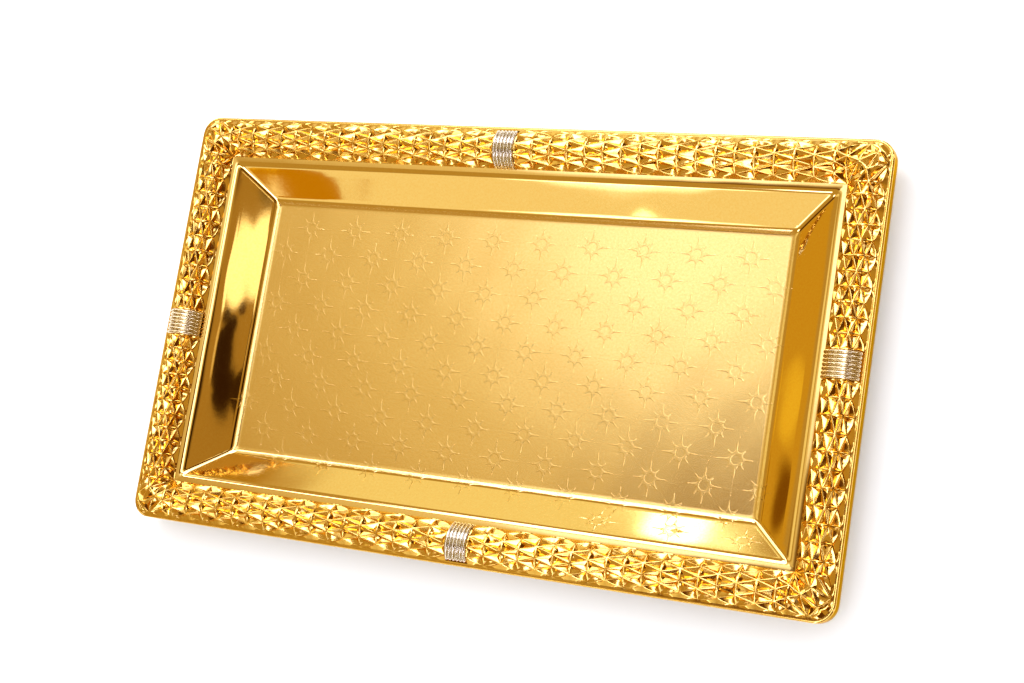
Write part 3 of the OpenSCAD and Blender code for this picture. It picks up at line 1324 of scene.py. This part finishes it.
# Panels around the tray: azimuth, elevation, inner and outer radius in degrees, colour.
PANELS = (
    # broad soft light and its bright core, behind the tray's left end
    (151, 64, 3, 17, (0.84, 0.66, 0.34)),
    (150, 66, 0, 7.5, (1.72, 1.65, 1.65)),
    # warm wall below it, and the ceiling
    (173, 40, 6, 10, (0.95, 0.78, 0.38)),
    (95, 84, 4, 8, (1.9, 1.8, 1.7)),
    # a dark card high over the tray
    (176, 73, 3.5, 7, (0.18, 0.08, 0.01)),
    # dim room near the camera, with a lit gap and dark edges
    (12, 60, 7, 12, (0.40, 0.22, 0.04)),
    (17.6, 57.2, 1.1, 1.6, LIT_GAP),
    (17.4, 59.2, 1.1, 1.6, LIT_GAP),
    (18.0, 61.4, 1.1, 1.7, LIT_GAP),
    (21.9, 57.0, 0.4, 0.9, (0.20, 0.12, 0.03)),
    (12.6, 62.0, 0.3, 1.0, (0.80, 0.55, 0.22)),
    (8.8, 59.4, 1.0, 1.3, BLACK),
    (8.6, 57.6, 0.9, 1.1, UMBER),
    (7.2, 56.8, 0.5, 0.8, UMBER),
    (10.9, 60.0, 0.8, 1.1, BLACK),
    (12.6, 59.4, 0.5, 0.75, BLACK),
    (13.9, 60.1, 0.35, 0.55, (0.05, 0.02, 0.003)),
    (14.3, 58.4, 0.3, 0.5, (0.08, 0.03, 0.004)),
    (12, 72, 3.5, 6.0, BLACK),
    # light wall to the front left, with an amber door, and small lamps
    (-118, 24, 9, 14, (0.96, 0.80, 0.46)),
    (-128.7, 21.8, 1.0, 1.5, (0.95, 0.56, 0.02)),
    (-127.5, 20.5, 0.5, 1.0, (1.3, 1.1, 0.7)),
    (-126.7, 22.1, 1.05, 1.25, AMBER),
    (-125.4, 21.3, 1.1, 1.3, AMBER),
    (-114.0, 23.4, 0.15, 0.55, (3, 2.8, 2.2)),
    (-116, 29, 2, 5, (3, 3, 3)),
    # light wall at the back left, bright at both ends and dim between
    (115, 9, 7, 10, (0.95, 0.81, 0.43)),
    (110.2, 9.2, 0.2, 1.5, (6, 6, 5.5)),
    (106.2, 9.5, 0.8, 2.0, (0.5, 0.32, 0.10)),
    (126.2, 7.5, 1.6, 4.6, (0.44, 0.22, 0.01)),
    (141, 23, 8, 12, (2.6, 2.5, 2.1)),
    # amber left end of the room, with a brighter patch and a dark door
    (171, 7.5, 6, 9, (0.60, 0.33, 0.025)),
    (173.0, 7.7, 0.6, 1.7, (0.84, 0.53, 0.04)),
    (176.0, 8, 0.6, 1.5, (0.20, 0.075, 0.002)),
    # strong lamps, which give the folds and the rim their glints
    (97, 48, 5, 8, LAMP),
    (118, 42, 7, 10, LAMP),
    (-108, 50, 4, 8, LAMP),
    (-60, 52, 4, 7, LAMP),
    (62, 38, 4, 7, LAMP),
    (-20, 24, 4, 7, LAMP),
    (-160, 40, 3, 6, LAMP),
    # dark gaps of the room between them
    (-22, 46, 12, 18, DARK),
    (-45, 72, 8, 12, DARK),
    (-80, 28, 10, 14, DARK),
    (50, 62, 8, 12, DARK),
    (-172, 22, 8, 12, DARK),
    (30, 20, 12, 17, DARK),
    (80, 25, 9, 13, DARK),
)
# Long strip lights across the room: axis, place along it, half-width, soft edge, colour.
STRIP_LIGHTS = (
    ((0, 1, 0), 0.46, 0.025, 0.060, STRIP),
    ((1, 0, 0), -0.10, 0.025, 0.060, STRIP),
)


class Sky(Nodes):
    """Colours laid over each other by the direction looked in."""

    def __init__(self, tree, ground):
        super().__init__(tree)
        self.looked = self.add("ShaderNodeTexCoord", {})["Generated"]
        self.colour = (*ground, 1)

    def along(self, axis):
        dot = self.nodes.new("ShaderNodeVectorMath")
        dot.operation = "DOT_PRODUCT"
        self.feed(dot, {0: self.looked, 1: axis})
        return dot.outputs["Value"]

    def off(self, value, centre):
        """How far a value is from the centre, either way."""
        return self.math("ABSOLUTE", self.math("SUBTRACT", value, centre))

    def lay(self, value, clear, full, tint):
        """Lays a tint where the value is near full, fading out as it nears clear."""
        mask = self.spread(value, 0, 1, clear, full, "SMOOTHSTEP")
        self.colour = self.blend(mask, self.colour, (*tint, 1))


def add_world():
    world = bpy.data.worlds.new("studio")
    bpy.context.scene.world = world
    world.use_nodes = True
    sky = Sky(world.node_tree, ROOM)
    for axis, place, half, edge, tint in STRIP_LIGHTS:
        sky.lay(sky.off(sky.along(axis), place), edge, half, tint)
    for azimuth, elevation, inner, outer, tint in PANELS:
        reach = [math.cos(math.radians(angle)) for angle in (outer, inner)]
        sky.lay(sky.along(direction(azimuth, elevation)), *reach, tint)
    # The room is seen only in the metal; all else is lit by, and seen against, plain white.
    rays = sky.add("ShaderNodeLightPath", {})
    plain = sky.math("MAXIMUM", rays["Is Camera Ray"], rays["Is Diffuse Ray"])
    sky.feed(sky.nodes["Background"], {"Color": sky.blend(plain, sky.colour, WHITE)})


# A softbox that throws the shadow: azimuth and elevation, distance, size and power.
SOFTBOX_AT = (118, 42)
SOFTBOX_AWAY = 1.15
SOFTBOX_SIZE = 0.4
SOFTBOX_POWER = 7


def add_light():
    """The softbox. It isn't seen in the metal, which has the world's lamps for that."""
    data = bpy.data.lights.new("softbox", "AREA")
    data.size = SOFTBOX_SIZE
    data.energy = SOFTBOX_POWER
    light = bpy.data.objects.new("softbox", data)
    light.location = direction(*SOFTBOX_AT) * SOFTBOX_AWAY
    light.visible_glossy = False
    light.rotation_euler = (-light.location).to_track_quat("-Z", "Y").to_euler()
    bpy.context.scene.collection.objects.link(light)


# Half the floor's width, and the gap that keeps it from touching the tray.
GROUND_SIZE = 3
GROUND_GAP = 0.0001
GROUND_TONES = ((0.94, 0.94, 0.94, 1), (0.96, 0.96, 0.96, 1))
GROUND_GLOSS = 0.15


def add_floor():
    bm = bmesh.new()
    bmesh.ops.create_grid(bm, x_segments=8, y_segments=8, size=GROUND_SIZE)
    mesh = bpy.data.meshes.new("floor")
    bm.to_mesh(mesh)
    bm.free()
    floor = bpy.data.objects.new("floor", mesh)
    bpy.context.scene.collection.objects.link(floor)
    floor.location.z = -GROUND_GAP
    finish = Finish("floor", metallic=0.0)
    finish.colours(finish.noise(*CLOUDS), *GROUND_TONES)
    finish.give("Roughness", GROUND_GLOSS)
    mesh.materials.append(finish.material)


add_camera()
add_mouldings(gold_moulding())
make_pan(gold_pan())
silver_long = silver("silver_wire", (ACROSS, ALONG, ALONG), SILVER_WORN, SILVER_BRIGHT)
silver_short = silver("silver_wire_ends", (ALONG, ACROSS, ALONG), CHAMPAGNE_WORN, CHAMPAGNE_BRIGHT)
make_wires((silver_long, silver_short))
add_world()
add_light()
add_floor()
bpy.context.scene.view_settings.view_transform = "Standard"
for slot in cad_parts["edge_wire"].material_slots:
    slot.material = steel()
